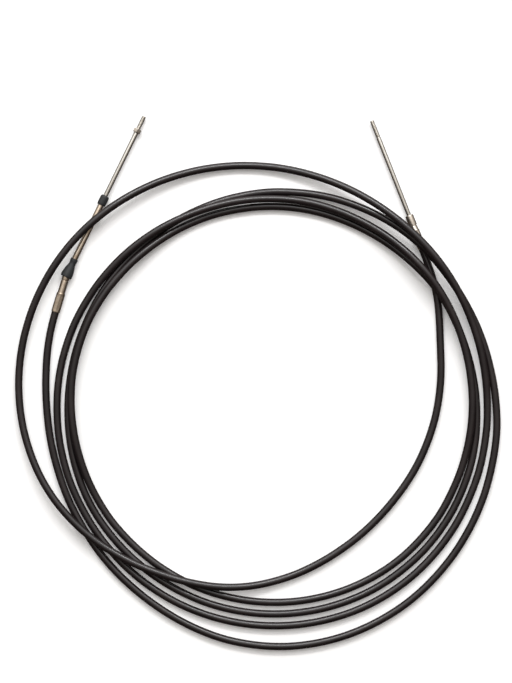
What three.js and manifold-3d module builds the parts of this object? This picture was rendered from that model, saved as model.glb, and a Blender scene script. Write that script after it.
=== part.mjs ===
// Push-pull boat control cable: one long jacketed cable lying in loose turns, with a rod at each end.
// Millimetres, +Z up, the floor at z = 0, the view from above with +Y towards the two fittings.
import * as THREE from 'three';
import { mergeVertices } from 'three/addons/utils/BufferGeometryUtils.js';
import Module from 'manifold-3d';

const wasm = await Module();
wasm.setup();

// Clearances
const SLIDING_GAP = 0.3;      // round a rod, wire or ball in the bore it moves in
const SEATED_GAP = 0.3;       // between pieces that are fixed face to face
const STRAND_GAP = 0.4;       // between two strands of the jacket that touch
const STOP_GAP = 0.5;         // left at the inner end of a rod's stroke
const FLOOR_GAP = 0.1;        // under whatever lies on the floor

// Flat sides of the round pieces
const TURNED_SIDES = 24;
const BOOT_SIDES = 32;
const WIRE_SIDES = 12;
const JACKET_SIDES = 8;

// Jacket
const JACKET_OD = 8.2;
const JACKET_STEPS = 250;
const JACKET_GRIP = 18;       // length of jacket held inside each hub
const JACKET_STRAIGHT = 8;    // straight length of jacket behind the right hub
const LINE_DIVISIONS = 4000;  // for steps of equal length along the jacket

// Core wire and rods, the same at both ends
const ROD_OD = 4.8;
const WIRE_OD = 2.0;
const TRAVEL = 76;            // stroke of a rod, three inches
const THREAD_LENGTH = 20;
const THREAD_DEPTH = 0.25;    // the rod is turned down by this where its thread is rolled
const ROD_CHAMFER = 0.6;

// Lock nut on the left rod
const NUT_ACROSS_FLATS = 7.9;
const NUT_THICKNESS = 4.2;
const NUT_FROM_TIP = 15.7;    // rod tip to the outer face of the nut
const NUT_STOP_GAP = 1.1;     // nut to seal, with the rod fully in

// Hubs, swaged on the jacket
const HUB_CRIMP_OD = 9.5;
const HUB_CRIMP_LENGTH = 22;
const HUB_BARREL_OD = 8.1;
const HUB_GROOVE_OD = 7.2;
const HUB_GROOVE_WIDTH = 1.2;
const HUB_CHAMFER = 0.6;

// Left hub, measured back from the middle of the swivel ball
const LEFT_BARREL_LENGTH = 15;
const SOCKET_LIP_OD = 8.2;
const SOCKET_LIP_REACH = 2;   // the lip closes in front of the ball's middle
const SOCKET_LIP_DEPTH = 4.6; // and reaches back to the groove

// Left swivel: ball, tube, boot and wiper seal, measured forward from the middle of the ball
const SWIVEL_EACH_WAY = 9;    // degrees
const BALL_OD = 6.4;
const BALL_STEPS = 8;
const BALL_NECK_OD = 4.6;
const BALL_NECK_LENGTH = 6;
const NECK_ROOM = 0.65;       // round the neck in the socket's mouth, for its lean
const TUBE_OD = 6.35;
const TUBE_TAPER = 1.5;
const BOOT_OD = 13;
const BOOT_NECK_OD = 8.2;
const BOOT_NECK_LENGTH = 6.4;
const BOOT_FRONT = 20.9;
const BOOT_RIM_REACH = 1.5;   // the rim of the boot behind the ball's middle
const BOOT_RIM_WIDTH = 3.3;
const BOOT_POCKET_REACH = 3.1;
const BOOT_POCKET_ROOM = 0.85; // round the socket's lip, for its lean
const BOOT_BELL_STEPS = 8;
const BOOT_BELL_CURVE = 0.7; // 1 for a straight cone, less for a fuller bell
const SEAL_OD = 9.7;
const SEAL_LENGTH = 12;
const SEAL_OVERLAP = 4.5;     // how far the seal is pushed on the tube
const SEAL_NOSE = 2.6;        // radius of the seal's rounded front edge
const RUBBER_EDGE = 0.4;      // bevel of the rubber pieces
const ROD_IN_TUBE = 7;        // length of rod still guided by the tube, fully out

// Right hub and rod, measured back and forward from the front face of the hub
const COLLAR_OD = 9;
const COLLAR_LENGTH = 12;
const RIGHT_BARREL_LENGTH = 4;
const RIGHT_ROD_SHOWN = 112;
const WIRE_KEPT = 3;          // core wire still inside the hub, with the rod fully out

// Where the fittings lie and which way they point, in degrees to the right of +Y
const BALL_PLACE = [-210.8, 117.8];
const LEFT_HUB_LEAN = 17;
const RIGHT_HUB_FRONT = [166.2, 184.5];
const RIGHT_LEAN = -21.5;

// The route of the jacket round the middle of the coil, picked by eye: the angle in degrees
// (0 to the right, counting anticlockwise), the distance from the middle, and how high the strand
// lies, counted in strands beneath it.
const COIL_MIDDLE = [7.7, -18.7];
const ROUTE = [
  // first turn, from the left hub round the outside of the bottom and the right
  [161.8, 248.0, 0.05], [166.5, 245.8, 0.02], [171.5, 243.4, 0], [180, 240.8, 0], [192, 240.1, 0],
  [206, 242.3, 0], [218, 245.6, 0], [228, 249.7, 0], [240, 255.1, 0], [252, 262.0, 0], [263, 268.0, 0],
  [276, 272.5, 0], [290, 274.0, 0], [305, 272.6, 0], [320, 268.5, 0], [335, 263.4, 0], [350, 258.1, 0],
  [0, 253.9, 0], [10, 249.8, 0], [18, 247.2, 0.14], [25, 244.9, 0.45], [32, 243.0, 0.87],
  [39, 241.9, 1.15], [45, 241.0, 1.24], [51, 239.8, 1.18],
  // second turn, under the first top strands, inside at the left, third from outside below
  [58, 237.9, 1.0], [65, 235.8, 0.72], [72, 234.0, 0.4], [80, 231.4, 0.12], [90, 228.5, 0],
  [102, 224.4, 0], [114, 220.6, 0], [126, 217.6, 0], [138, 215.6, 0], [150, 214.7, 0], [165, 214.9, 0],
  [180, 216.6, 0], [195, 220.0, 0], [210, 223.8, 0], [225, 226.2, 0], [240, 229.0, 0], [255, 232.4, 0],
  [270, 235.3, 0], [285, 238.0, 0], [300, 240.1, 0], [315, 240.6, 0], [328, 239.7, 0], [340, 237.9, 0],
  [350, 235.5, 0], [0, 232.4, 0], [8, 229.9, 0.02], [15, 228.0, 0.12], [22, 226.6, 0.4],
  [29, 225.4, 0.86], [36, 223.4, 1.07], [43, 221.0, 0.93], [50, 219.2, 0.55], [57, 217.6, 0.2],
  // third turn, innermost at the top, the left and the bottom
  [65, 216.1, 0.03], [74, 214.9, 0], [83, 213.8, 0], [93, 212.6, 0], [104, 211.6, 0], [113, 210.9, 0.08],
  [121, 210.4, 0.31], [129, 210.1, 0.7], [137, 210.4, 0.9], [147, 211.5, 1.0], [158, 212.5, 1.02],
  [170, 213.0, 1.0], [180, 212.9, 0.95], [190, 212.9, 0.8], [200, 213.4, 0.42], [209, 214.1, 0.1],
  [220, 215.1, 0], [235, 216.5, 0], [250, 219.0, 0], [265, 221.6, 0], [280, 224.4, 0], [295, 227.2, 0],
  [310, 229.4, 0], [325, 229.9, 0], [337, 229.1, 0.09], [345, 228.6, 0.35], [352, 228.2, 0.66],
  [359, 227.7, 0.88], [6, 227.1, 1.0], [13, 226.7, 1.12], [20, 226.3, 1.36], [27, 226.0, 1.75],
  [33, 225.7, 2.0], [39, 225.2, 2.12], [45, 224.6, 1.93], [52, 224.1, 1.47], [59, 223.4, 1.06],
  // fourth turn, on top of the inner strands at the upper left, then second from outside
  [68, 222.7, 0.79], [78, 222.3, 0.69], [88, 221.3, 0.77], [98, 220.4, 0.96], [108, 219.9, 1.04],
  [118, 220.2, 1.04], [126, 221.0, 0.96], [134, 222.0, 0.72], [142, 223.1, 0.4], [150, 224.3, 0.14],
  [159, 225.9, 0.02], [170, 227.5, 0], [180, 228.8, 0], [192, 230.7, 0], [205, 233.0, 0], [220, 236.2, 0],
  [235, 240.2, 0], [250, 244.0, 0], [265, 247.3, 0], [280, 250.2, 0], [295, 252.4, 0], [310, 252.6, 0],
  [325, 251.0, 0], [340, 248.4, 0], [352, 246.0, 0.02], [0, 244.4, 0.17], [7, 243.4, 0.62],
  [14, 242.9, 0.98], [21, 242.7, 1.28], [28, 242.9, 1.7], [35, 243.3, 2.08], [42, 243.8, 2.27],
  [49, 244.5, 2.22],
  // last turn, outermost at the top, over the swivel tube and the whole bundle, then inside
  [56, 245.8, 1.96], [64, 247.9, 1.47], [72, 250.4, 0.95], [80, 253.2, 0.5], [88, 256.3, 0.19],
  [97, 259.8, 0.09], [106, 263.2, 0.23], [115, 266.4, 0.57], [123, 269.0, 0.93], [130, 271.1, 1.14],
  [137, 272.8, 1.19], [144, 273.9, 1.14], [151, 274.4, 0.95], [159, 274.4, 0.65], [168, 273.4, 0.38],
  [177, 271.2, 0.3], [186, 267.8, 0.44], [195, 263.0, 0.73], [203, 257.5, 0.96], [211, 250.4, 1.04],
  [220, 241.4, 1.05], [230, 231.0, 1.05], [240, 221.8, 1.05], [249, 215.6, 0.97], [257, 210.8, 0.7],
  [265, 205.5, 0.34], [273, 199.6, 0.09], [282, 193.3, 0], [293, 186.6, 0], [306, 181.6, 0],
  [320, 179.5, 0], [334, 181.4, 0], [345, 184.5, 0], [355, 188.7, 0], [4, 193.2, 0], [10.5, 197.1, 0],
  [14.1, 199.5, 0], [19.6, 204.6, 0], [24.9, 211.5, 0], [29.9, 219.1, 0.02], [34.7, 226.2, 0.05],
];

const materials = {
  jacket: () => new THREE.MeshStandardMaterial({ color: 0x2b292b, roughness: 0.42, metalness: 0 }),
  steel: () => new THREE.MeshStandardMaterial({ color: 0xc9c6c1, roughness: 0.28, metalness: 1 }),
  rubber: () => new THREE.MeshStandardMaterial({ color: 0x36373a, roughness: 0.7, metalness: 0 }),
};

// Solids for cutting and joining
function toSolid(geometry) {
  const bare = geometry.clone();
  bare.deleteAttribute('normal');
  bare.deleteAttribute('uv');
  const merged = mergeVertices(bare, 1e-4);
  const triVerts = Uint32Array.from(merged.index.array);
  return new wasm.Manifold(new wasm.Mesh({
    numProp: 3, vertProperties: Float32Array.from(merged.attributes.position.array), triVerts,
  }));
}

function toGeometry(solid) {
  const mesh = solid.getMesh();
  const geometry = new THREE.BufferGeometry();
  geometry.setAttribute('position', new THREE.BufferAttribute(Float32Array.from(mesh.vertProperties), 3));
  geometry.setIndex(Array.from(mesh.triVerts));
  geometry.computeVertexNormals();
  return geometry;
}

function mesh(name, geometry, material) {
  const piece = new THREE.Mesh(geometry, material);
  piece.name = name;
  return piece;
}

// A turned piece points along +Y. Its outline is a list of [radius, distance forward] that starts
// and ends on the axis, or goes round a bore and closes on its first point.
function turned(outline, sides = TURNED_SIDES) {
  const closed = outline[0][0] > 0 ? [...outline, outline[0]] : outline;
  const points = closed.map(([radius, forward]) => new THREE.Vector2(radius, forward));
  if (THREE.ShapeUtils.area(points) < 0) points.reverse();
  return new THREE.LatheGeometry(points, sides);
}

// Points of an arc for an outline, in degrees from straight outwards, positive forwards
function arc(centreRadius, centreForward, radius, startDegrees, endDegrees, steps) {
  const points = [];
  for (let i = 0; i <= steps; i += 1) {
    const turn = THREE.MathUtils.degToRad(startDegrees + ((endDegrees - startDegrees) * i) / steps);
    points.push([centreRadius + radius * Math.cos(turn), centreForward + radius * Math.sin(turn)]);
  }
  return points;
}

// Where a sphere's surface is this far from the axis, in degrees from its equator
function sphereDegrees(sphereRadius, fromAxis) {
  return THREE.MathUtils.radToDeg(Math.acos(fromAxis / sphereRadius));
}

// Radii and places that several pieces share
const jacketRadius = JACKET_OD / 2;
const strandPitch = JACKET_OD + STRAND_GAP;
const rodRadius = ROD_OD / 2;
const wireRadius = WIRE_OD / 2;
const ballRadius = BALL_OD / 2;
const tubeRadius = TUBE_OD / 2;
const rodBore = rodRadius + SLIDING_GAP;
const wireBore = wireRadius + SLIDING_GAP;
const hubJacketBore = jacketRadius + SEATED_GAP;
const leftHubLength = SOCKET_LIP_DEPTH + LEFT_BARREL_LENGTH + HUB_CRIMP_LENGTH;
const rightHubLength = COLLAR_LENGTH + HUB_GROOVE_WIDTH + RIGHT_BARREL_LENGTH + HUB_CRIMP_LENGTH;
const leftRodInner = BALL_NECK_LENGTH + TUBE_TAPER + STOP_GAP + TRAVEL;
const tubeEnd = leftRodInner + ROD_IN_TUBE;
const sealBack = tubeEnd - SEAL_OVERLAP;
const sealFront = sealBack + SEAL_LENGTH;
const leftRodTip = sealFront + NUT_STOP_GAP + TRAVEL + NUT_THICKNESS + NUT_FROM_TIP;
const rightJacketEnd = JACKET_GRIP - rightHubLength;
const rightRodInner = rightJacketEnd + 2 * SEATED_GAP;
const wireInnerEnd = -TRAVEL - WIRE_KEPT;

// Heights: the boot's rim, a corner of the nut and the crimped part of each hub are at the floor
const ballHeight = BOOT_OD / 2 + FLOOR_GAP;
const hubHeight = HUB_CRIMP_OD / 2 + FLOOR_GAP;
const nutHeight = NUT_ACROSS_FLATS / Math.sqrt(3) + FLOOR_GAP;
const nutFromBall = leftRodTip - NUT_FROM_TIP - NUT_THICKNESS / 2;
const leftHubRise = Math.asin((ballHeight - hubHeight) / leftHubLength);
const leftSwivelRise = -Math.asin((ballHeight - nutHeight) / nutFromBall);

// A frame that stands at a place and points along +Y, leaned to the right and raised
function frameAt([x, y], z, leanDegrees, rise) {
  const frame = new THREE.Group();
  frame.position.set(x, y, z);
  frame.rotation.set(rise, 0, -THREE.MathUtils.degToRad(leanDegrees), 'ZXY');
  frame.updateMatrixWorld(true);
  return frame;
}

const leftHubFrame = frameAt(BALL_PLACE, ballHeight, LEFT_HUB_LEAN, leftHubRise);
const leftSwivelFrame = frameAt(BALL_PLACE, ballHeight, LEFT_HUB_LEAN + SWIVEL_EACH_WAY, leftSwivelRise);
const rightFrame = frameAt(RIGHT_HUB_FRONT, hubHeight, RIGHT_LEAN, 0);

function onAxis(frame, forward) {
  return new THREE.Vector3(0, forward, 0).applyMatrix4(frame.matrixWorld);
}

// The jacket's centre line: straight out of each hub, and along the route between
function jacketLine() {
  const points = [JACKET_GRIP, 0].map((past) => onAxis(leftHubFrame, past - leftHubLength));
  for (const [degrees, distance, beneath] of ROUTE) {
    const turn = THREE.MathUtils.degToRad(degrees);
    points.push(new THREE.Vector3(
      COIL_MIDDLE[0] + distance * Math.cos(turn),
      COIL_MIDDLE[1] + distance * Math.sin(turn),
      jacketRadius + FLOOR_GAP + beneath * strandPitch,
    ));
  }
  const straight = [-JACKET_STRAIGHT, -JACKET_STRAIGHT / 2, 0, JACKET_GRIP];
  points.push(...straight.map((past) => onAxis(rightFrame, past - rightHubLength)));
  const line = new THREE.CatmullRomCurve3(points, false, 'centripetal');
  line.arcLengthDivisions = LINE_DIVISIONS;
  return line;
}

// Jacket: one round tube along the line, with a straight bore for the core wire at its right end
function cableJacket() {
  const section = new THREE.Shape();
  for (let i = 0; i < JACKET_SIDES; i += 1) {
    const turn = (i / JACKET_SIDES) * Math.PI * 2;
    const corner = [jacketRadius * Math.cos(turn), jacketRadius * Math.sin(turn)];
    if (i === 0) section.moveTo(...corner);
    else section.lineTo(...corner);
  }
  section.closePath();
  const tube = new THREE.ExtrudeGeometry(section, { steps: JACKET_STEPS, extrudePath: jacketLine() });
  const boreEnd = wireInnerEnd - SLIDING_GAP;
  const bore = turned([[0, boreEnd], [wireBore, boreEnd], [wireBore, 0], [0, 0]], WIRE_SIDES);
  bore.applyMatrix4(rightFrame.matrixWorld);
  return mesh('cable_jacket', toGeometry(toSolid(tube).subtract(toSolid(bore))), materials.jacket());
}

// The back of a hub, swaged on the jacket: from the small bore over the jacket's end and round the
// rear face to the front of the swaged part
function crimpOutline(smallBore, hubLength) {
  const jacketSeat = JACKET_GRIP + SEATED_GAP - hubLength;
  const crimpFront = HUB_CRIMP_LENGTH - hubLength;
  return [
    [smallBore, jacketSeat], [hubJacketBore, jacketSeat], [hubJacketBore, -hubLength],
    [HUB_CRIMP_OD / 2 - HUB_CHAMFER, -hubLength], [HUB_CRIMP_OD / 2, HUB_CHAMFER - hubLength],
    [HUB_CRIMP_OD / 2, crimpFront - HUB_CHAMFER], [HUB_BARREL_OD / 2, crimpFront],
  ];
}

// Left hub: socket for the swivel ball, groove, barrel and swaged part
function leftHub() {
  const socket = ballRadius + SLIDING_GAP;
  const mouth = BALL_NECK_OD / 2 + NECK_ROOM;
  const lip = SOCKET_LIP_OD / 2;
  const lipBevel = HUB_CHAMFER / 2;
  const grooveBack = -SOCKET_LIP_DEPTH - HUB_GROOVE_WIDTH;
  return turned([
    ...arc(0, 0, socket, sphereDegrees(socket, mouth), -sphereDegrees(socket, wireBore), BALL_STEPS),
    ...crimpOutline(wireBore, leftHubLength),
    [HUB_BARREL_OD / 2, grooveBack], [HUB_GROOVE_OD / 2, grooveBack],
    [HUB_GROOVE_OD / 2, -SOCKET_LIP_DEPTH], [lip, -SOCKET_LIP_DEPTH],
    [lip, SOCKET_LIP_REACH - lipBevel], [lip - lipBevel, SOCKET_LIP_REACH], [mouth, SOCKET_LIP_REACH],
  ]);
}

// Right hub: collar, groove, barrel and swaged part, bored for the rod as far as the jacket
function rightHub() {
  const collar = COLLAR_OD / 2;
  const grooveBack = -COLLAR_LENGTH - HUB_GROOVE_WIDTH;
  return turned([
    ...crimpOutline(rodBore, rightHubLength),
    [HUB_BARREL_OD / 2, grooveBack], [HUB_GROOVE_OD / 2, grooveBack],
    [HUB_GROOVE_OD / 2, -COLLAR_LENGTH], [collar, -COLLAR_LENGTH],
    [collar, -HUB_CHAMFER], [collar - HUB_CHAMFER, 0], [rodBore, 0],
  ]);
}

// Swivel tube: the ball in the socket, its neck, and the tube that the rod slides in
function leftSwivelTube() {
  const neck = BALL_NECK_OD / 2;
  return turned([
    ...arc(
      0, 0, ballRadius, -sphereDegrees(ballRadius, wireBore), sphereDegrees(ballRadius, neck), BALL_STEPS,
    ),
    [neck, BALL_NECK_LENGTH], [tubeRadius, BALL_NECK_LENGTH + TUBE_TAPER], [tubeRadius, tubeEnd],
    [rodBore, tubeEnd], [rodBore, BALL_NECK_LENGTH + TUBE_TAPER], [wireBore, BALL_NECK_LENGTH],
  ]);
}

// Boot: a rubber bell pushed on the tube, whose pocket covers the socket's lip at every angle
function leftBoot() {
  const bore = tubeRadius + SEATED_GAP;
  const rim = BOOT_OD / 2;
  const neck = BOOT_NECK_OD / 2;
  const pocket = SOCKET_LIP_OD / 2 + BOOT_POCKET_ROOM;
  const bellBack = BOOT_RIM_WIDTH - BOOT_RIM_REACH;
  const bellFront = BOOT_FRONT - BOOT_NECK_LENGTH;
  const bell = [];
  for (let i = 0; i <= BOOT_BELL_STEPS; i += 1) {
    const along = i / BOOT_BELL_STEPS;
    const radius = neck + (rim - RUBBER_EDGE - neck) * (1 - along) ** BOOT_BELL_CURVE;
    bell.push([radius, bellBack + (bellFront - bellBack) * along]);
  }
  return turned([
    [bore, BALL_NECK_LENGTH + TUBE_TAPER], [pocket, BOOT_POCKET_REACH], [pocket, -BOOT_RIM_REACH],
    [rim - RUBBER_EDGE, -BOOT_RIM_REACH], [rim, RUBBER_EDGE - BOOT_RIM_REACH], [rim, bellBack - RUBBER_EDGE],
    ...bell,
    [neck, BOOT_FRONT - RUBBER_EDGE], [neck - RUBBER_EDGE, BOOT_FRONT], [bore, BOOT_FRONT],
  ], BOOT_SIDES);
}

// Wiper seal: a rubber cap on the tube's end, with a rounded nose round the rod
function leftRodSeal() {
  const seat = tubeRadius + SEATED_GAP;
  const outside = SEAL_OD / 2;
  return turned([
    [seat, sealBack], [outside - RUBBER_EDGE, sealBack], [outside, sealBack + RUBBER_EDGE],
    ...arc(outside - SEAL_NOSE, sealFront - SEAL_NOSE, SEAL_NOSE, 0, 80, 5),
    [rodBore, sealFront], [rodBore, tubeEnd + SEATED_GAP], [seat, tubeEnd + SEATED_GAP],
  ]);
}

// A rod from its inner end to its threaded tip
function rod(innerEnd, tip) {
  const thread = rodRadius - THREAD_DEPTH;
  const threadStart = tip - THREAD_LENGTH;
  return turned([
    [0, innerEnd], [rodRadius - ROD_CHAMFER, innerEnd], [rodRadius, innerEnd + ROD_CHAMFER],
    [rodRadius, threadStart - THREAD_DEPTH], [thread, threadStart],
    [thread, tip - ROD_CHAMFER], [thread - ROD_CHAMFER, tip], [0, tip],
  ]);
}

// Lock nut: a hexagon with a corner down, bored to the thread
function lockNut() {
  const outside = new THREE.Shape();
  for (let i = 0; i < 6; i += 1) {
    const turn = THREE.MathUtils.degToRad(60 * i + 30);
    const corner = NUT_ACROSS_FLATS / Math.sqrt(3);
    const point = [corner * Math.cos(turn), corner * Math.sin(turn)];
    if (i === 0) outside.moveTo(...point);
    else outside.lineTo(...point);
  }
  outside.closePath();
  const bore = new THREE.Path();
  bore.absarc(0, 0, rodRadius - THREAD_DEPTH + SEATED_GAP, 0, Math.PI * 2, true);
  outside.holes.push(bore);
  const nut = new THREE.ExtrudeGeometry(outside, { depth: NUT_THICKNESS, bevelEnabled: false });
  nut.rotateX(-Math.PI / 2);
  nut.translate(0, leftRodTip - NUT_FROM_TIP - NUT_THICKNESS, 0);
  return nut;
}

leftHubFrame.add(mesh('left_hub', leftHub(), materials.steel()));
leftSwivelFrame.add(
  mesh('left_swivel_tube', leftSwivelTube(), materials.steel()),
  mesh('left_boot', leftBoot(), materials.rubber()),
  mesh('left_rod_seal', leftRodSeal(), materials.rubber()),
  mesh('left_rod', rod(leftRodInner, leftRodTip), materials.steel()),
  mesh('left_lock_nut', lockNut(), materials.steel()),
);
rightFrame.add(
  mesh('right_hub', rightHub(), materials.steel()),
  mesh('right_rod', rod(rightRodInner, RIGHT_ROD_SHOWN), materials.steel()),
  mesh('right_core_wire', turned([
    [0, wireInnerEnd], [wireRadius, wireInnerEnd],
    [wireRadius, rightRodInner - SEATED_GAP], [0, rightRodInner - SEATED_GAP],
  ], WIRE_SIDES), materials.steel()),
);

const group = new THREE.Group();
group.add(cableJacket(), leftHubFrame, leftSwivelFrame, rightFrame);
export default group;
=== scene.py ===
"""Push-pull boat control cable: the finished pieces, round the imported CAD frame.

Metres, +Z up, the floor at z = 0, seen from straight above with +Y towards the two fittings.
"""

import math

import bmesh
import bpy
from mathutils import Matrix, Vector


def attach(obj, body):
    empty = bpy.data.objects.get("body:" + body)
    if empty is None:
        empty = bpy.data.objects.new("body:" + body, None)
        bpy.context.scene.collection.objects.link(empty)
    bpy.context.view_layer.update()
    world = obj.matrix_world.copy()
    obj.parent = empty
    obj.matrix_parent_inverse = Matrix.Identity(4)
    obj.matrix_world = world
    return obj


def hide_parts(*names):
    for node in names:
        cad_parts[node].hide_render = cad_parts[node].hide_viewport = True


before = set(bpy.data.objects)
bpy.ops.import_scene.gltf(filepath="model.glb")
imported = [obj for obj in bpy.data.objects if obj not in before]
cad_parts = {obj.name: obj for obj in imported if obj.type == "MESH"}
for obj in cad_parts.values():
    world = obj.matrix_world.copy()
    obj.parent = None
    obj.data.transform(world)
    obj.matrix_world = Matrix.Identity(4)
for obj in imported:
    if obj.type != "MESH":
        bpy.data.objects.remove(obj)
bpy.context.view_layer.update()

# Sizes of the real cable, as in the part's source

SLIDING_GAP = 0.0003
SEATED_GAP = 0.0003
STRAND_GAP = 0.0004
STOP_GAP = 0.0005
FLOOR_GAP = 0.0001

JACKET_OD = 0.0082
JACKET_GRIP = 0.018
JACKET_STRAIGHT = 0.008

ROD_OD = 0.0048
WIRE_OD = 0.002
TRAVEL = 0.076
THREAD_LENGTH = 0.020
ROD_CHAMFER = 0.0006

NUT_ACROSS_FLATS = 0.0079
NUT_THICKNESS = 0.0042
NUT_FROM_TIP = 0.0157
NUT_STOP_GAP = 0.0011
NUT_BORE_OD = 0.0049

HUB_CRIMP_OD = 0.0095
HUB_CRIMP_LENGTH = 0.022
HUB_BARREL_OD = 0.0081
HUB_GROOVE_OD = 0.0072
HUB_GROOVE_WIDTH = 0.0012
HUB_CHAMFER = 0.0006

LEFT_BARREL_LENGTH = 0.015
SOCKET_LIP_OD = 0.0082
SOCKET_LIP_REACH = 0.002
SOCKET_LIP_DEPTH = 0.0046

SWIVEL_EACH_WAY = 9
BALL_OD = 0.0064
BALL_NECK_OD = 0.0046
BALL_NECK_LENGTH = 0.006
NECK_ROOM = 0.00065
TUBE_OD = 0.00635
TUBE_TAPER = 0.0015
BOOT_OD = 0.013
BOOT_NECK_OD = 0.0082
BOOT_FRONT = 0.0209
BOOT_RIM_REACH = 0.0015
BOOT_POCKET_REACH = 0.0031
BOOT_POCKET_ROOM = 0.00085
SEAL_OD = 0.0097
SEAL_LENGTH = 0.012
SEAL_OVERLAP = 0.0045
SEAL_NOSE = 0.0026
ROD_IN_TUBE = 0.007

COLLAR_OD = 0.009
COLLAR_LENGTH = 0.012
RIGHT_BARREL_LENGTH = 0.004
RIGHT_ROD_SHOWN = 0.112

BALL_PLACE = (-0.2108, 0.1178)
LEFT_HUB_LEAN = 17
RIGHT_HUB_FRONT = (0.1662, 0.1845)
RIGHT_LEAN = -21.5

# Finer forms, which only the looks have
THREAD_PITCH = 0.000794
THREAD_ROOT_OD = 0.0039
THREAD_CREST_OD = ROD_OD - 0.00006
THREAD_RUN_IN = 0.0004
THREAD_END_GAPS = (0.0001, 0.0002)
CORE_UNDER_THREAD = 0.00002
CRIMP_FLATS = 8
CRIMP_APOTHEM = 0.00443
CRIMP_ENDS = 0.0022
CRIMP_RUN_OUT = 0.22
BORE_MARGIN = 0.00005
NUT_CHAMFER = 0.0006
NUT_FACE_OD = NUT_ACROSS_FLATS - 0.0002
NUT_COUNTERSINK = 0.0003
NUT_ROWS = 14
FINE_EDGE = 0.00025
RUBBER_EDGE = 0.0006
SEAL_BACK_TAPER = 0.0005
SEAL_TAPER_LENGTH = 0.0024
JACKET_SIDES = 24
JACKET_STEPS_EACH = 11
TURNED_SIDES = 64

# Lengths that follow from them
left_hub_length = SOCKET_LIP_DEPTH + LEFT_BARREL_LENGTH + HUB_CRIMP_LENGTH
right_hub_length = COLLAR_LENGTH + HUB_GROOVE_WIDTH + RIGHT_BARREL_LENGTH + HUB_CRIMP_LENGTH
left_rod_inner = BALL_NECK_LENGTH + TUBE_TAPER + STOP_GAP + TRAVEL
tube_end = left_rod_inner + ROD_IN_TUBE
seal_back = tube_end - SEAL_OVERLAP
seal_front = seal_back + SEAL_LENGTH
nut_back = seal_front + NUT_STOP_GAP + TRAVEL
left_rod_tip = nut_back + NUT_THICKNESS + NUT_FROM_TIP
right_rod_inner = JACKET_GRIP - right_hub_length + 2 * SEATED_GAP
wire_bore = WIRE_OD / 2 + SLIDING_GAP
rod_bore = ROD_OD / 2 + SLIDING_GAP

# Heights: the boot's rim, a corner of the nut and the crimped part of each hub are at the floor
ball_height = BOOT_OD / 2 + FLOOR_GAP
hub_height = HUB_CRIMP_OD / 2 + FLOOR_GAP
nut_height = NUT_ACROSS_FLATS / math.sqrt(3) + FLOOR_GAP
left_hub_rise = math.asin((ball_height - hub_height) / left_hub_length)
left_swivel_rise = -math.asin((ball_height - nut_height) / (nut_back + NUT_THICKNESS / 2))

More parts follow.
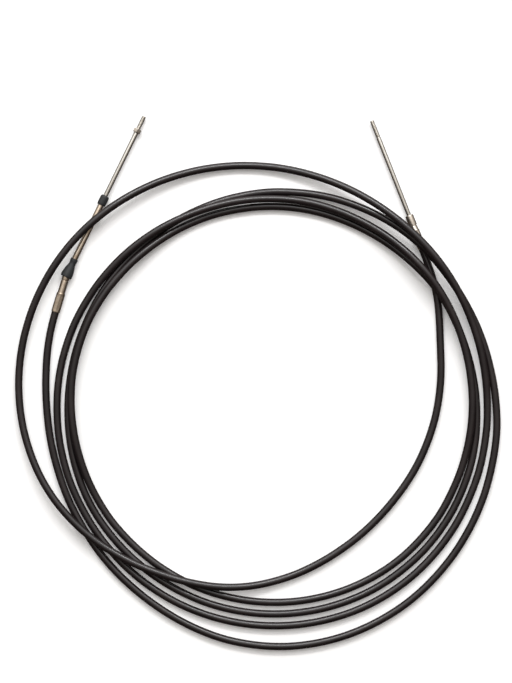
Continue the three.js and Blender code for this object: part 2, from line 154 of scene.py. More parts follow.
# The route of the jacket round the middle of the coil: the angle in degrees (0 to the right, counting
# anticlockwise), the distance from the middle, and how high the strand lies, in strands beneath it.
COIL_MIDDLE = (0.0077, -0.0187)
ROUTE = [
    # first turn, from the left hub round the outside of the bottom and the right
    (161.8, 0.2480, 0.05), (166.5, 0.2458, 0.02), (171.5, 0.2434, 0), (180, 0.2408, 0),
    (192, 0.2401, 0), (206, 0.2423, 0), (218, 0.2456, 0), (228, 0.2497, 0), (240, 0.2551, 0),
    (252, 0.2620, 0), (263, 0.2680, 0), (276, 0.2725, 0), (290, 0.2740, 0), (305, 0.2726, 0),
    (320, 0.2685, 0), (335, 0.2634, 0), (350, 0.2581, 0), (0, 0.2539, 0), (10, 0.2498, 0),
    (18, 0.2472, 0.14), (25, 0.2449, 0.45), (32, 0.2430, 0.87), (39, 0.2419, 1.15),
    (45, 0.2410, 1.24), (51, 0.2398, 1.18),
    # second turn, under the first top strands, inside at the left, third from outside below
    (58, 0.2379, 1.0), (65, 0.2358, 0.72), (72, 0.2340, 0.4), (80, 0.2314, 0.12), (90, 0.2285, 0),
    (102, 0.2244, 0), (114, 0.2206, 0), (126, 0.2176, 0), (138, 0.2156, 0), (150, 0.2147, 0),
    (165, 0.2149, 0), (180, 0.2166, 0), (195, 0.2200, 0), (210, 0.2238, 0), (225, 0.2262, 0),
    (240, 0.2290, 0), (255, 0.2324, 0), (270, 0.2353, 0), (285, 0.2380, 0), (300, 0.2401, 0),
    (315, 0.2406, 0), (328, 0.2397, 0), (340, 0.2379, 0), (350, 0.2355, 0), (0, 0.2324, 0),
    (8, 0.2299, 0.02), (15, 0.2280, 0.12), (22, 0.2266, 0.4), (29, 0.2254, 0.86),
    (36, 0.2234, 1.07), (43, 0.2210, 0.93), (50, 0.2192, 0.55), (57, 0.2176, 0.2),
    # third turn, innermost at the top, the left and the bottom
    (65, 0.2161, 0.03), (74, 0.2149, 0), (83, 0.2138, 0), (93, 0.2126, 0), (104, 0.2116, 0),
    (113, 0.2109, 0.08), (121, 0.2104, 0.31), (129, 0.2101, 0.7), (137, 0.2104, 0.9),
    (147, 0.2115, 1.0), (158, 0.2125, 1.02), (170, 0.2130, 1.0), (180, 0.2129, 0.95),
    (190, 0.2129, 0.8), (200, 0.2134, 0.42), (209, 0.2141, 0.1), (220, 0.2151, 0), (235, 0.2165, 0),
    (250, 0.2190, 0), (265, 0.2216, 0), (280, 0.2244, 0), (295, 0.2272, 0), (310, 0.2294, 0),
    (325, 0.2299, 0), (337, 0.2291, 0.09), (345, 0.2286, 0.35), (352, 0.2282, 0.66),
    (359, 0.2277, 0.88), (6, 0.2271, 1.0), (13, 0.2267, 1.12), (20, 0.2263, 1.36),
    (27, 0.2260, 1.75), (33, 0.2257, 2.0), (39, 0.2252, 2.12), (45, 0.2246, 1.93),
    (52, 0.2241, 1.47), (59, 0.2234, 1.06),
    # fourth turn, on top of the inner strands at the upper left, then second from outside
    (68, 0.2227, 0.79), (78, 0.2223, 0.69), (88, 0.2213, 0.77), (98, 0.2204, 0.96),
    (108, 0.2199, 1.04), (118, 0.2202, 1.04), (126, 0.2210, 0.96), (134, 0.2220, 0.72),
    (142, 0.2231, 0.4), (150, 0.2243, 0.14), (159, 0.2259, 0.02), (170, 0.2275, 0),
    (180, 0.2288, 0), (192, 0.2307, 0), (205, 0.2330, 0), (220, 0.2362, 0), (235, 0.2402, 0),
    (250, 0.2440, 0), (265, 0.2473, 0), (280, 0.2502, 0), (295, 0.2524, 0), (310, 0.2526, 0),
    (325, 0.2510, 0), (340, 0.2484, 0), (352, 0.2460, 0.02), (0, 0.2444, 0.17), (7, 0.2434, 0.62),
    (14, 0.2429, 0.98), (21, 0.2427, 1.28), (28, 0.2429, 1.7), (35, 0.2433, 2.08),
    (42, 0.2438, 2.27), (49, 0.2445, 2.22),
    # last turn, outermost at the top, over the swivel tube and the whole bundle, then inside
    (56, 0.2458, 1.96), (64, 0.2479, 1.47), (72, 0.2504, 0.95), (80, 0.2532, 0.5),
    (88, 0.2563, 0.19), (97, 0.2598, 0.09), (106, 0.2632, 0.23), (115, 0.2664, 0.57),
    (123, 0.2690, 0.93), (130, 0.2711, 1.14), (137, 0.2728, 1.19), (144, 0.2739, 1.14),
    (151, 0.2744, 0.95), (159, 0.2744, 0.65), (168, 0.2734, 0.38), (177, 0.2712, 0.3),
    (186, 0.2678, 0.44), (195, 0.2630, 0.73), (203, 0.2575, 0.96), (211, 0.2504, 1.04),
    (220, 0.2414, 1.05), (230, 0.2310, 1.05), (240, 0.2218, 1.05), (249, 0.2156, 0.97),
    (257, 0.2108, 0.7), (265, 0.2055, 0.34), (273, 0.1996, 0.09), (282, 0.1933, 0),
    (293, 0.1866, 0), (306, 0.1816, 0), (320, 0.1795, 0), (334, 0.1814, 0), (345, 0.1845, 0),
    (355, 0.1887, 0), (4, 0.1932, 0), (10.5, 0.1971, 0), (14.1, 0.1995, 0), (19.6, 0.2046, 0),
    (24.9, 0.2115, 0), (29.9, 0.2191, 0.02), (34.7, 0.2262, 0.05),
]


def seat(place, height, lean_degrees, rise=0.0):
    """Where a fitting lies: its axis along +Y, leaned to the right and raised."""
    return (
        Matrix.Translation((*place, height))
        @ Matrix.Rotation(-math.radians(lean_degrees), 4, "Z")
        @ Matrix.Rotation(rise, 4, "X")
    )


left_hub_seat = seat(BALL_PLACE, ball_height, LEFT_HUB_LEAN, left_hub_rise)
left_swivel_seat = seat(BALL_PLACE, ball_height, LEFT_HUB_LEAN + SWIVEL_EACH_WAY, left_swivel_rise)
right_seat = seat(RIGHT_HUB_FRONT, hub_height, RIGHT_LEAN)


# Camera: straight down over the photograph's middle

VIEW_MIDDLE = (-0.0022, 0.0457)
VIEW_LENGTH = 0.7513
CAMERA_HEIGHT = 3.0
MATCHED_HEIGHT = 0.006

camera = bpy.data.objects.new("camera", bpy.data.cameras.new("camera"))
camera.location = (*VIEW_MIDDLE, CAMERA_HEIGHT)
camera.data.sensor_width = 36
camera.data.lens = camera.data.sensor_width * (CAMERA_HEIGHT - MATCHED_HEIGHT) / VIEW_LENGTH
bpy.context.collection.objects.link(camera)
bpy.context.scene.camera = camera


# Ways of making a mesh

def add(tree, kind, inputs=None, **settings):
    """Adds a node with its settings, and each input set to a value or linked to a socket."""
    made = tree.nodes.new(kind)
    for key, value in settings.items():
        setattr(made, key, value)
    for key, value in (inputs or {}).items():
        if isinstance(value, bpy.types.NodeSocket):
            tree.links.new(value, made.inputs[key])
        else:
            made.inputs[key].default_value = value
    return made


def new_piece(name, vertices=(), faces=(), corners=()):
    """An object with a mesh, and a UV map in metres where its faces' corners have one."""
    mesh = bpy.data.meshes.new(name)
    mesh.from_pydata(vertices, [], faces)
    if corners:
        uv_map = mesh.uv_layers.new(name="UVMap")
        uv_map.data.foreach_set("uv", [value for corner in corners for value in corner])
    made = bpy.data.objects.new(name, mesh)
    bpy.context.collection.objects.link(made)
    return made


def outward(piece):
    """Turns every face of a closed piece outwards."""
    form = bmesh.new()
    form.from_mesh(piece.data)
    bmesh.ops.remove_doubles(form, verts=form.verts, dist=1e-7)
    bmesh.ops.recalc_face_normals(form, faces=form.faces)
    form.to_mesh(piece.data)
    form.free()


def finish_piece(piece, place, material, body, slot, *nodes, sharp_degrees=32):
    """Sets a piece in its place, with its finish, on its body and over the CAD nodes it stands for."""
    piece.data.transform(place)
    outward(piece)
    piece.data.shade_smooth()
    piece.data.set_sharp_from_angle(angle=math.radians(sharp_degrees))
    piece.data.materials.clear()
    piece.data.materials.append(material)
    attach(piece, body)
    if nodes:
        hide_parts(*nodes)
    return piece


def eased(outline, radius, steps=4, straight_degrees=9):
    """Rounds the corners of an outline, its two ends apart, and leaves its curves alone."""
    points = [Vector(point) for point in outline]
    made = [points[0]]
    for before, corner, after in zip(points, points[1:], points[2:]):
        towards, onwards = before - corner, after - corner
        if (-towards).angle(onwards, 0) < math.radians(straight_degrees):
            made.append(corner)
            continue
        start = corner + towards.normalized() * min(radius, towards.length * 0.45)
        end = corner + onwards.normalized() * min(radius, onwards.length * 0.45)
        for step in range(steps + 1):
            t = step / steps
            made.append(start * (1 - t) ** 2 + corner * (2 * t * (1 - t)) + end * t * t)
    return [tuple(point) for point in made + [points[-1]]]


def arc(centre_radius, centre_forward, radius, start_degrees, end_degrees, steps=10):
    """Points of an arc for an outline, in degrees from straight outwards, positive forwards."""
    turns = [
        math.radians(start_degrees + (end_degrees - start_degrees) * step / steps)
        for step in range(steps + 1)
    ]
    return [
        (centre_radius + radius * math.cos(turn), centre_forward + radius * math.sin(turn))
        for turn in turns
    ]


def sphere_degrees(sphere_radius, from_axis):
    """Where a sphere's surface is this far from the axis, in degrees from its equator."""
    return math.degrees(math.acos(from_axis / sphere_radius))


def turned(name, outline, sides=TURNED_SIDES):
    """A turned piece along +Y. Its outline of (radius, forward) starts and ends on the axis, or goes
    round a bore and closes on its first point. The UV map runs round it and along it, in metres."""
    bored = outline[0][0] > 0
    rows = outline + outline[:1] if bored else outline
    along = [0.0]
    for here, there in zip(rows, rows[1:]):
        along.append(along[-1] + (Vector(there) - Vector(here)).length)
    widest = max(radius for radius, _ in outline)
    vertices, rings = [], []
    for radius, forward in outline:
        if radius <= 0:
            rings.append([len(vertices)] * (sides + 1))
            vertices.append((0, forward, 0))
            continue
        first = len(vertices)
        for side in range(sides):
            turn = 2 * math.pi * side / sides
            vertices.append((radius * math.cos(turn), forward, radius * math.sin(turn)))
        rings.append([first + side % sides for side in range(sides + 1)])
    if bored:
        rings.append(rings[0])
    faces, corners = [], []
    for row, (ring, following) in enumerate(zip(rings, rings[1:])):
        for side in range(sides):
            u, v = [2 * math.pi * widest * (side + more) / sides for more in (0, 1)]
            loop = [
                (ring[side], (u, along[row])), (ring[side + 1], (v, along[row])),
                (following[side + 1], (v, along[row + 1])), (following[side], (u, along[row + 1])),
            ]
            kept = [entry for place, entry in enumerate(loop)
                    if entry[0] not in [other[0] for other in loop[:place]]]
            if len(kept) > 2:
                faces.append([entry[0] for entry in kept])
                corners.extend(entry[1] for entry in kept)
    return new_piece(name, vertices, faces, corners)


def shaped(piece, tree, **sizes):
    """Runs a geometry tree on a piece, with its named inputs, and keeps the result as a plain mesh."""
    modifier = piece.modifiers.new(tree.name, "NODES")
    modifier.node_group = tree
    for item in tree.interface.items_tree:
        if item.item_type == "SOCKET" and item.in_out == "INPUT" and item.name in sizes:
            modifier[item.identifier] = sizes[item.name]
    depsgraph = bpy.context.evaluated_depsgraph_get()
    mesh = bpy.data.meshes.new_from_object(piece.evaluated_get(depsgraph), depsgraph=depsgraph)
    piece.modifiers.clear()
    piece.data = mesh
    return piece


def geometry_tree(name, sizes):
    """A geometry tree with a named input for each size, and its first and last node."""
    tree = bpy.data.node_groups.new(name, "GeometryNodeTree")
    tree.interface.new_socket("Geometry", in_out="INPUT", socket_type="NodeSocketGeometry")
    for size, kind in sizes.items():
        tree.interface.new_socket(size, in_out="INPUT", socket_type="NodeSocket" + kind)
    tree.interface.new_socket("Geometry", in_out="OUTPUT", socket_type="NodeSocketGeometry")
    return tree, add(tree, "NodeGroupInput").outputs


def math_of(tree, operation, *values):
    """One sum on a geometry tree or a material's tree."""
    return add(tree, "ShaderNodeMath", dict(enumerate(values)), operation=operation).outputs[0]


def close_tree(tree, geometry, material):
    """Ends a geometry tree with real meshes in their material."""
    real = add(tree, "GeometryNodeRealizeInstances", {0: geometry})
    dressed = add(tree, "GeometryNodeSetMaterial", {"Geometry": real.outputs[0], "Material": material})
    add(tree, "NodeGroupOutput", {0: dressed.outputs[0]})
    return tree


def rolled_thread_tree():
    """A screw thread along +Y: one sheet wound round the axis, whose radius rises and falls with the
    pitch, and which runs out on the root at both ends."""
    tree, given = geometry_tree("rolled_thread", {
        "Length": "Float", "Pitch": "Float", "Crest radius": "Float", "Root radius": "Float",
        "Sides": "Int", "Rows": "Int", "Material": "Material",
    })

    def sums(operation, *values):
        return math_of(tree, operation, *values)

    sheet = add(tree, "GeometryNodeMeshGrid", {
        "Size X": 1.0, "Size Y": 1.0, "Vertices X": given["Sides"], "Vertices Y": given["Rows"],
    }).outputs["Mesh"]
    spot = add(tree, "ShaderNodeSeparateXYZ", {0: add(tree, "GeometryNodeInputPosition").outputs[0]})
    around = sums("ADD", spot.outputs["X"], 0.5)
    forward = sums("MULTIPLY", sums("ADD", spot.outputs["Y"], 0.5), given["Length"])
    turn = sums("MULTIPLY", around, -2 * math.pi)
    phase = sums("FRACT", sums("SUBTRACT", sums("DIVIDE", forward, given["Pitch"]), around))
    # a triangle wave with flat crests and roots, as a rolled thread has
    wave = sums("SUBTRACT", 1.0, sums("ABSOLUTE", sums("SUBTRACT", sums("MULTIPLY", phase, 2.0), 1.0)))
    flank = add(tree, "ShaderNodeMapRange", {
        "Value": wave, "From Min": 0.16, "From Max": 0.84, "To Min": 0.0, "To Max": 1.0,
    }).outputs[0]
    left = sums("SUBTRACT", given["Length"], forward)
    run_out = add(tree, "ShaderNodeMapRange", {
        "Value": sums("DIVIDE", sums("MINIMUM", forward, left), given["Pitch"]),
        "From Min": 0.1, "From Max": 1.3, "To Min": 0.0, "To Max": 1.0,
    }).outputs[0]
    rise = sums("SUBTRACT", given["Crest radius"], given["Root radius"])
    radius = sums("MULTIPLY_ADD", sums("MULTIPLY", rise, run_out), flank, given["Root radius"])
    wound = add(tree, "ShaderNodeCombineXYZ", {
        "X": sums("MULTIPLY", radius, sums("COSINE", turn)), "Y": forward,
        "Z": sums("MULTIPLY", radius, sums("SINE", turn)),
    })
    thread = add(tree, "GeometryNodeSetPosition", {"Geometry": sheet, "Position": wound.outputs[0]})
    closed = add(tree, "GeometryNodeMergeByDistance", {"Geometry": thread.outputs[0], "Distance": 1e-6})
    return close_tree(tree, closed.outputs[0], given["Material"])


def pressed_flats_tree():
    """Flats pressed round a turned piece along +Y, between two places along it, which run out to the
    round at both ends. What is nearer to the axis than the bore is left round."""
    tree, given = geometry_tree("pressed_flats", {
        "Flats": "Float", "Apothem": "Float", "Back": "Float", "Front": "Float", "Run-out slope": "Float",
        "Bore radius": "Float", "Material": "Material",
    })

    def sums(operation, *values):
        return math_of(tree, operation, *values)

    spot = add(tree, "ShaderNodeSeparateXYZ", {0: add(tree, "GeometryNodeInputPosition").outputs[0]})
    x, y, z = spot.outputs
    radius = sums("SQRT", sums("MULTIPLY_ADD", x, x, sums("MULTIPLY", z, z)))
    sector = sums("DIVIDE", 2 * math.pi, given["Flats"])
    turn = sums("FLOORED_MODULO", sums("ARCTAN2", z, x), sector)
    across = sums("COSINE", sums("SUBTRACT", turn, sums("MULTIPLY", sector, 0.5)))
    past = sums("MAXIMUM", sums("SUBTRACT", given["Back"], y), sums("SUBTRACT", y, given["Front"]))
    limit = sums("MULTIPLY_ADD", sums("MAXIMUM", past, 0.0), given["Run-out slope"],
                 sums("DIVIDE", given["Apothem"], across))
    outside = sums("GREATER_THAN", radius, given["Bore radius"])
    narrowed = sums("MINIMUM", 1.0, sums("DIVIDE", limit, radius))
    share = sums("MULTIPLY_ADD", outside, sums("SUBTRACT", narrowed, 1.0), 1.0)
    pressed = add(tree, "ShaderNodeCombineXYZ", {
        "X": sums("MULTIPLY", x, share), "Y": y, "Z": sums("MULTIPLY", z, share),
    })
    moved = add(tree, "GeometryNodeSetPosition", {
        "Geometry": given["Geometry"], "Position": pressed.outputs[0],
    })
    return close_tree(tree, moved.outputs[0], given["Material"])


# Materials

def srgb(code, alpha=1.0):
    """A colour from its sRGB hex code."""
    shares = [int(code[i:i + 2], 16) / 255 for i in (1, 3, 5)]
    return (*[s / 12.92 if s <= 0.04045 else ((s + 0.055) / 1.055) ** 2.4 for s in shares], alpha)


def new_material(name, **sockets):
    """A material with its Principled shader's own sockets set. Returns it, its tree and the shader."""
    material = bpy.data.materials.new(name)
    material.use_nodes = True
    tree = material.node_tree
    shader = tree.nodes["Principled BSDF"]
    for socket, value in sockets.items():
        shader.inputs[socket.replace("_", " ")].default_value = value
    return material, tree, shader


def pattern(tree, source, sizes, detail=3.0, roughness=0.55):
    """Noise whose grains have these sizes in metres, in the directions of a UV map or of the object."""
    vector = add(tree, "ShaderNodeTexCoord").outputs[source]
    scaled = add(tree, "ShaderNodeMapping", {
        "Vector": vector, "Scale": [1 / size for size in sizes],
    }, vector_type="POINT")
    return add(tree, "ShaderNodeTexNoise", {
        "Vector": scaled.outputs[0], "Scale": 1.0, "Detail": detail, "Roughness": roughness,
    }).outputs[0]


def between(tree, value, low, high, to_low, to_high):
    """Spreads a pattern from one range to another."""
    return add(tree, "ShaderNodeMapRange", {
        "Value": value, "From Min": low, "From Max": high, "To Min": to_low, "To Max": to_high,
    }).outputs[0]


def tinted(tree, value, *stops):
    """A colour from a pattern, by stops of (place, hex code)."""
    ramp = add(tree, "ShaderNodeValToRGB", {0: value})
    elements = ramp.color_ramp.elements
    while len(elements) < len(stops):
        elements.new(0.5)
    for element, (place, code) in zip(elements, stops):
        element.position, element.color = place, srgb(code)
    return ramp.outputs[0]


def bumped(tree, shader, height, depth, under=None):
    """Raises the surface by a pattern, up to a depth in metres."""
    inputs = {"Height": height, "Distance": depth, "Strength": 1.0}
    if under is not None:
        inputs["Normal"] = under
    made = add(tree, "ShaderNodeBump", inputs).outputs[0]
    tree.links.new(made, shader.inputs["Normal"])
    return made


def black_polyethylene_extruded():
    """The jacket. Extruded polyethylene: satin black, with fine draw lines along it from the die, an
    orange-peel skin and dull patches where it has been handled. The draw lines are drawn 0.7 mm wide,
    wider than they are, so that they show."""
    material, tree, shader = new_material("black_polyethylene_extruded", IOR=1.51)
    lines = pattern(tree, "UV", (0.0007, 0.09, 1), detail=2)
    peel = pattern(tree, "UV", (0.0011, 0.0016, 1), detail=2)
    patches = pattern(tree, "Object", (0.03, 0.03, 0.03), detail=4)
    colour = tinted(tree, patches, (0.3, "#171314"), (0.55, "#1e1819"), (0.75, "#251f1f"))
    tree.links.new(colour, shader.inputs["Base Color"])
    dull = math_of(tree, "ADD", between(tree, patches, 0.3, 0.75, 0.17, 0.25),
                   between(tree, lines, 0.3, 0.7, -0.03, 0.04))
    tree.links.new(dull, shader.inputs["Roughness"])
    skin = bumped(tree, shader, peel, 0.000008)
    bumped(tree, shader, lines, 0.000008, skin)
    return material


def stainless_steel(name, light, dark, smooth, rough, line_sizes, depth):
    """Stainless steel, cut or drawn: a bright grey metal with fine tool lines, which are drawn wider
    than they are so that they show, and faint stains where it has been handled."""
    material, tree, shader = new_material(name, Metallic=1.0)
    lines = pattern(tree, "UV", line_sizes, detail=2)
    stains = pattern(tree, "Object", (0.006, 0.006, 0.006), detail=4)
    colour = tinted(tree, stains, (0.32, light), (0.72, dark))
    tree.links.new(colour, shader.inputs["Base Color"])
    dull = math_of(tree, "ADD", between(tree, stains, 0.3, 0.75, smooth, rough),
                   between(tree, lines, 0.3, 0.7, -0.015, 0.015))
    tree.links.new(dull, shader.inputs["Roughness"])
    bumped(tree, shader, lines, depth)
    return material


def nitrile_rubber_moulded():
    """The boot and the wiper seal. Moulded nitrile rubber: a matt grey black with a fine grain from the
    mould and a pale bloom in patches."""
    material, tree, shader = new_material("nitrile_rubber_moulded", IOR=1.52, Sheen_Weight=0.05)
    grain = pattern(tree, "Object", (0.0004, 0.0004, 0.0004), detail=3)
    bloom = pattern(tree, "Object", (0.004, 0.004, 0.004), detail=4)
    colour = tinted(tree, bloom, (0.3, "#131517"), (0.7, "#1d2023"))
    tree.links.new(colour, shader.inputs["Base Color"])
    tree.links.new(between(tree, bloom, 0.3, 0.7, 0.55, 0.72), shader.inputs["Roughness"])
    bumped(tree, shader, grain, 0.00003)
    return material


jacket_plastic = black_polyethylene_extruded()
ground_rod = stainless_steel("stainless_steel_ground", "#dcd9d2", "#c8c3ba", 0.22, 0.3,
                             (0.03, 0.0008, 1), 0.0000008)
# Drawn steel for the left hub and the swivel tube. Its warm brown tint, in both its light and dark tones,
# is a painted reflection of warm brown surroundings. The stains between the two tones are its own.
drawn_steel_painted_warm_reflection = stainless_steel("stainless_steel_drawn", "#d8cab9", "#b09d88", 0.24, 0.36,
                             (0.0005, 0.03, 1), 0.000003)
turned_steel = stainless_steel("stainless_steel_turned", "#f0e9df", "#cfc4b6", 0.22, 0.32,
                               (0.03, 0.0006, 1), 0.000002)
rolled_steel = stainless_steel("stainless_steel_rolled_thread", "#dedad3", "#bbb6ad", 0.3, 0.4,
                               (0.002, 0.002, 1), 0.000004)
boot_rubber = nitrile_rubber_moulded()


# The jacket: the cord

def on_axis(place, forward):
    return place @ Vector((0, forward, 0))


def jacket_points():
    """The points that the jacket's centre line passes: straight out of each hub, and along the route."""
    points = [on_axis(left_hub_seat, past - left_hub_length) for past in (JACKET_GRIP, 0)]
    for degrees, distance, beneath in ROUTE:
        turn = math.radians(degrees)
        points.append(Vector((
            COIL_MIDDLE[0] + distance * math.cos(turn),
            COIL_MIDDLE[1] + distance * math.sin(turn),
            JACKET_OD / 2 + FLOOR_GAP + beneath * (JACKET_OD + STRAND_GAP),
        )))
    straight = (-JACKET_STRAIGHT, -JACKET_STRAIGHT / 2, 0, JACKET_GRIP)
    return points + [on_axis(right_seat, past - right_hub_length) for past in straight]


def smooth_line(points, steps_each):
    """A centripetal Catmull-Rom curve through the points, the same one that the CAD tube follows."""
    ends = [2 * points[0] - points[1], *points, 2 * points[-1] - points[-2]]
    line = []
    for a, b, c, d in zip(ends, ends[1:], ends[2:], ends[3:]):
        ab, bc, cd = [math.sqrt((q - p).length) for p, q in ((a, b), (b, c), (c, d))]
        leaving = ((b - a) / ab - (c - a) / (ab + bc) + (c - b) / bc) * bc
        arriving = ((c - b) / bc - (d - b) / (bc + cd) + (d - c) / cd) * bc
        for step in range(steps_each):
            t = step / steps_each
            line.append(
                b + leaving * t + (3 * (c - b) - 2 * leaving - arriving) * t ** 2
                + (2 * (b - c) + leaving + arriving) * t ** 3
            )
    return line + [points[-1]]


def tube(name, line, radius, sides):
    """A round tube along a line, closed at both ends, with a UV map in metres round it and along it."""
    vertices, along = [], [0.0]
    for place, point in enumerate(line):
        ahead = (line[min(place + 1, len(line) - 1)] - line[max(place - 1, 0)]).normalized()
        level = ahead.cross(Vector((0, 0, 1))).normalized()
        upright = level.cross(ahead)
        for side in range(sides):
            turn = 2 * math.pi * side / sides
            vertices.append(point + radius * (math.cos(turn) * level + math.sin(turn) * upright))
        if place:
            along.append(along[-1] + (point - line[place - 1]).length)
    faces, corners = [], []
    for row in range(len(line) - 1):
        for side in range(sides):
            following = (side + 1) % sides
            faces.append([
                row * sides + side, row * sides + following,
                (row + 1) * sides + following, (row + 1) * sides + side,
            ])
            u, v = [2 * math.pi * radius * (side + more) / sides for more in (0, 1)]
            corners.extend([(u, along[row]), (v, along[row]), (v, along[row + 1]), (u, along[row + 1])])
    for first in (0, (len(line) - 1) * sides):
        faces.append(list(range(first, first + sides)))
        corners.extend([(0, 0)] * sides)
    return new_piece(name, vertices, faces, corners)


jacket_line = smooth_line(jacket_points(), JACKET_STEPS_EACH)
jacket = finish_piece(
    tube("jacket", jacket_line, JACKET_OD / 2, JACKET_SIDES),
    Matrix.Identity(4), jacket_plastic, "cable", "jacket", "cable_jacket",
)


# The fittings

def crimp_outline(small_bore, hub_length):
    """The back of a hub: over the jacket's end, round the rear face and along the swaged part."""
    jacket_seat = JACKET_GRIP + SEATED_GAP - hub_length
    jacket_bore = JACKET_OD / 2 + SEATED_GAP
    crimp_front = HUB_CRIMP_LENGTH - hub_length
    crimp = HUB_CRIMP_OD / 2
    rows = [HUB_CHAMFER + (HUB_CRIMP_LENGTH - 2 * HUB_CHAMFER) * step / 12 for step in range(13)]
    return [
        (small_bore, jacket_seat), (jacket_bore, jacket_seat), (jacket_bore, -hub_length),
        (crimp - HUB_CHAMFER, -hub_length), *[(crimp, row - hub_length) for row in rows],
        (HUB_BARREL_OD / 2, crimp_front),
    ]


def swaged(hub, hub_length):
    """Presses the flats that the swaging dies leave round the back of a hub."""
    return shaped(hub, pressed_flats, **{
        "Flats": float(CRIMP_FLATS), "Apothem": CRIMP_APOTHEM, "Back": CRIMP_ENDS - hub_length,
        "Front": HUB_CRIMP_LENGTH - CRIMP_ENDS - hub_length, "Run-out slope": CRIMP_RUN_OUT,
        "Bore radius": JACKET_OD / 2 + SEATED_GAP + BORE_MARGIN, "Material": turned_steel,
    })


def left_hub():
    socket = BALL_OD / 2 + SLIDING_GAP
    mouth = BALL_NECK_OD / 2 + NECK_ROOM
    lip = SOCKET_LIP_OD / 2
    groove_back = -SOCKET_LIP_DEPTH - HUB_GROOVE_WIDTH
    inside = arc(0, 0, socket, sphere_degrees(socket, mouth), -sphere_degrees(socket, wire_bore))
    return turned("left_hub_steel", eased([
        *inside,
        *crimp_outline(wire_bore, left_hub_length),
        (HUB_BARREL_OD / 2, groove_back), (HUB_GROOVE_OD / 2, groove_back),
        (HUB_GROOVE_OD / 2, -SOCKET_LIP_DEPTH), (lip, -SOCKET_LIP_DEPTH),
        (lip, SOCKET_LIP_REACH), (mouth, SOCKET_LIP_REACH),
    ], FINE_EDGE))


def right_hub():
    collar = COLLAR_OD / 2
    groove_back = -COLLAR_LENGTH - HUB_GROOVE_WIDTH
    return turned("right_hub_steel", eased([
        *crimp_outline(rod_bore, right_hub_length),
        (HUB_BARREL_OD / 2, groove_back), (HUB_GROOVE_OD / 2, groove_back),
        (HUB_GROOVE_OD / 2, -COLLAR_LENGTH), (collar, -COLLAR_LENGTH),
        (collar, -HUB_CHAMFER), (collar - HUB_CHAMFER, 0), (rod_bore, 0),
    ], FINE_EDGE))


def swivel_tube():
    neck = BALL_NECK_OD / 2
    ball = BALL_OD / 2
    outer = TUBE_OD / 2
    taper_front = BALL_NECK_LENGTH + TUBE_TAPER
    return turned("left_swivel_tube_steel", eased([
        *arc(0, 0, ball, -sphere_degrees(ball, wire_bore), sphere_degrees(ball, neck)),
        (neck, BALL_NECK_LENGTH), (outer, taper_front), (outer, tube_end),
        (rod_bore, tube_end), (rod_bore, taper_front), (wire_bore, BALL_NECK_LENGTH),
    ], FINE_EDGE))


def boot():
    """A bell whose wall swells a little in front of its rim, and ends in a beaded neck on the tube."""
    bore = TUBE_OD / 2 + SEATED_GAP
    rim = BOOT_OD / 2
    neck = BOOT_NECK_OD / 2
    pocket = SOCKET_LIP_OD / 2 + BOOT_POCKET_ROOM
    bell = [
        (rim - 0.0004, -BOOT_RIM_REACH), (rim, -0.0004), (rim, 0.0012), (rim - 0.0001, 0.0030),
        (rim - 0.0004, 0.0052), (rim - 0.0008, 0.0076), (rim - 0.0014, 0.0098), (rim - 0.0021, 0.0118),
        (neck - 0.0001, 0.0136), (neck - 0.0004, 0.0150), (neck - 0.0003, 0.0168), (neck, 0.0178),
        (neck, 0.0199),
    ]
    return turned("left_boot_rubber", eased([
        (bore, BALL_NECK_LENGTH + TUBE_TAPER), (pocket, BOOT_POCKET_REACH), (pocket, -BOOT_RIM_REACH),
        *bell, (neck, BOOT_FRONT), (bore, BOOT_FRONT),
    ], RUBBER_EDGE))


def rod_seal():
    """A cap on the tube's end, with a rounded nose."""
    seated = TUBE_OD / 2 + SEATED_GAP
    outside = SEAL_OD / 2
    nose = arc(outside - SEAL_NOSE, seal_front - SEAL_NOSE, SEAL_NOSE, 0, 80)
    return turned("left_rod_seal_rubber", eased([
        (seated, seal_back), (outside - SEAL_BACK_TAPER, seal_back),
        (outside, seal_back + SEAL_TAPER_LENGTH), *nose,
        (rod_bore, seal_front),
        (rod_bore, tube_end + SEATED_GAP), (seated, tube_end + SEATED_GAP),
    ], RUBBER_EDGE))


def rod_shank(name, inner_end, tip):
    """A rod's plain part, and the core under its thread, which ends in a chamfered tip."""
    radius = ROD_OD / 2
    root = THREAD_ROOT_OD / 2 - CORE_UNDER_THREAD
    thread_start = tip - THREAD_LENGTH
    return turned(name, eased([
        (0, inner_end), (radius - ROD_CHAMFER, inner_end), (radius, inner_end + ROD_CHAMFER),
        (radius, thread_start - THREAD_RUN_IN), (root, thread_start), (root, tip - ROD_CHAMFER),
        (root - ROD_CHAMFER, tip), (0, tip),
    ], FINE_EDGE / 2))


def rod_thread(name, tip):
    """The rolled thread on a rod's end, twenty-five turns."""
    thread = shaped(new_piece(name), rolled_thread, **{
        "Length": THREAD_LENGTH - sum(THREAD_END_GAPS), "Pitch": THREAD_PITCH,
        "Crest radius": THREAD_CREST_OD / 2, "Root radius": THREAD_ROOT_OD / 2,
        "Sides": 33, "Rows": 241, "Material": rolled_steel,
    })
    thread.data.transform(Matrix.Translation((0, tip - THREAD_LENGTH + THREAD_END_GAPS[0], 0)))
    return thread


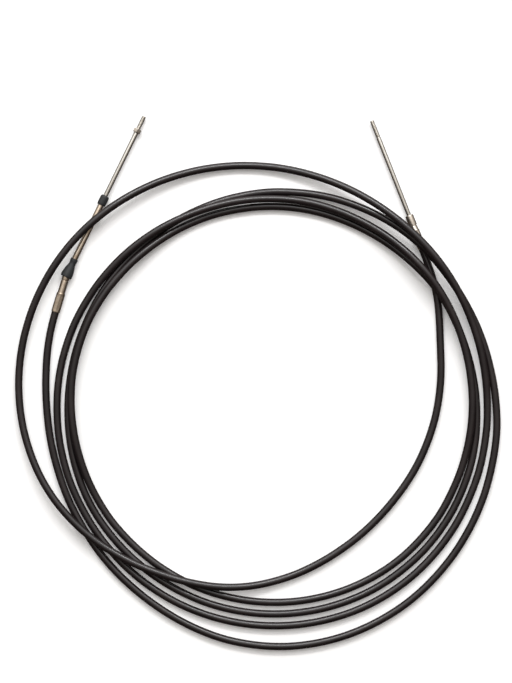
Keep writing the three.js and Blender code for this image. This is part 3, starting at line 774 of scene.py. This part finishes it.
def lock_nut():
    """A thin hexagon nut, a corner down, with chamfered corners and a countersunk bore."""
    corner = NUT_ACROSS_FLATS / math.sqrt(3)
    face = NUT_FACE_OD / 2
    bore = NUT_BORE_OD / 2
    rows = [NUT_THICKNESS * step / NUT_ROWS for step in range(1, NUT_ROWS)]
    outside = [
        (min(corner, face + (corner - face) * min(row, NUT_THICKNESS - row) / NUT_CHAMFER), nut_back + row)
        for row in rows
    ]
    nut = turned("left_lock_nut_steel", [
        (bore, nut_back + NUT_COUNTERSINK), (bore + NUT_COUNTERSINK, nut_back), (face, nut_back), *outside,
        (face, nut_back + NUT_THICKNESS), (bore + NUT_COUNTERSINK, nut_back + NUT_THICKNESS),
        (bore, nut_back + NUT_THICKNESS - NUT_COUNTERSINK),
    ], sides=96)
    nut = shaped(nut, pressed_flats, **{
        "Flats": 6.0, "Apothem": NUT_ACROSS_FLATS / 2, "Back": nut_back, "Front": nut_back + NUT_THICKNESS,
        "Run-out slope": 0.0, "Bore radius": bore + 0.0005, "Material": turned_steel,
    })
    nut.data.transform(Matrix.Rotation(math.radians(30), 4, "Y"))
    return nut


rolled_thread = rolled_thread_tree()
pressed_flats = pressed_flats_tree()

finish_piece(swaged(left_hub(), left_hub_length), left_hub_seat, drawn_steel_painted_warm_reflection, "cable", "steel", "left_hub")
hub_right = finish_piece(swaged(right_hub(), right_hub_length), right_seat, turned_steel,
                         "cable", "steel", "right_hub")
finish_piece(swivel_tube(), left_swivel_seat, drawn_steel_painted_warm_reflection, "left_swivel", "steel", "left_swivel_tube")
finish_piece(boot(), left_swivel_seat, boot_rubber, "left_swivel", "rubber", "left_boot", sharp_degrees=60)
finish_piece(rod_seal(), left_swivel_seat, boot_rubber, "left_swivel", "rubber", "left_rod_seal",
             sharp_degrees=60)
finish_piece(rod_shank("left_rod_shank", left_rod_inner, left_rod_tip), left_swivel_seat, ground_rod,
             "left_rod", "steel", "left_rod")
finish_piece(rod_thread("left_rod_thread", left_rod_tip), left_swivel_seat, rolled_steel,
             "left_rod", "steel", "left_rod")
finish_piece(lock_nut(), left_swivel_seat, turned_steel, "left_rod", "steel", "left_lock_nut",
             sharp_degrees=20)
finish_piece(rod_shank("right_rod_shank", right_rod_inner, RIGHT_ROD_SHOWN), right_seat, ground_rod,
             "right_rod", "steel", "right_rod")
finish_piece(rod_thread("right_rod_thread", RIGHT_ROD_SHOWN), right_seat, rolled_steel,
             "right_rod", "steel", "right_rod")

core_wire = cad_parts["right_core_wire"]
core_wire.data.materials.clear()
core_wire.data.materials.append(ground_rod)


# Floor and light

floor = new_piece("floor", [(-4, -4, 0), (4, -4, 0), (4, 4, 0), (-4, 4, 0)], [(0, 1, 2, 3)])
# A light table, as under a cut-out product photograph: white, with its shadows softened from below
floor_paint, _, _ = new_material("white_light_table", Base_Color=srgb("#f7f7f7"), Roughness=0.9,
                                 Emission_Color=srgb("#ffffff"), Emission_Strength=0.14)
floor.data.materials.append(floor_paint)
floor.visible_glossy = False


def softbox(name, place, aim, size, power):
    """A soft white rectangular light that the camera doesn't see."""
    light = bpy.data.lights.new(name, "AREA")
    light.shape, light.size, light.size_y = "RECTANGLE", *size
    light.energy = power
    made = bpy.data.objects.new(name, light)
    made.location = place
    made.rotation_euler = (Vector(aim) - Vector(place)).to_track_quat("-Z", "Y").to_euler()
    made.visible_camera = False
    bpy.context.collection.objects.link(made)


# A long narrow light beyond the top of the picture draws a thin bright line along each strand.
softbox("key_light", place=(0.05, 1.8, 1.9), aim=(0, 0, 0), size=(2.2, 0.2), power=33)

# The studio is brightest on the side of the key light and dark brown on the other, so that the lower
# edges of the strands and rods stay dark.
BRIGHTEST_SIDE = Vector((0.0, 0.77, 0.64))
STUDIO_STRENGTH = 2.6

world = bpy.data.worlds.new("studio")
world.use_nodes = True
bpy.context.scene.world = world
sky = world.node_tree
direction = add(sky, "ShaderNodeTexCoord").outputs["Generated"]
towards = add(sky, "ShaderNodeVectorMath", {0: direction, 1: BRIGHTEST_SIDE}, operation="DOT_PRODUCT")
colour = tinted(sky, between(sky, towards.outputs["Value"], -1, 1, 0, 1),
                (0.5, "#2b2622"), (0.82, "#87837f"), (0.93, "#e4e4e4"), (1.0, "#ffffff"))
sky.links.new(colour, sky.nodes["Background"].inputs["Color"])
sky.nodes["Background"].inputs["Strength"].default_value = STUDIO_STRENGTH

bpy.context.scene.view_settings.view_transform = "Standard"
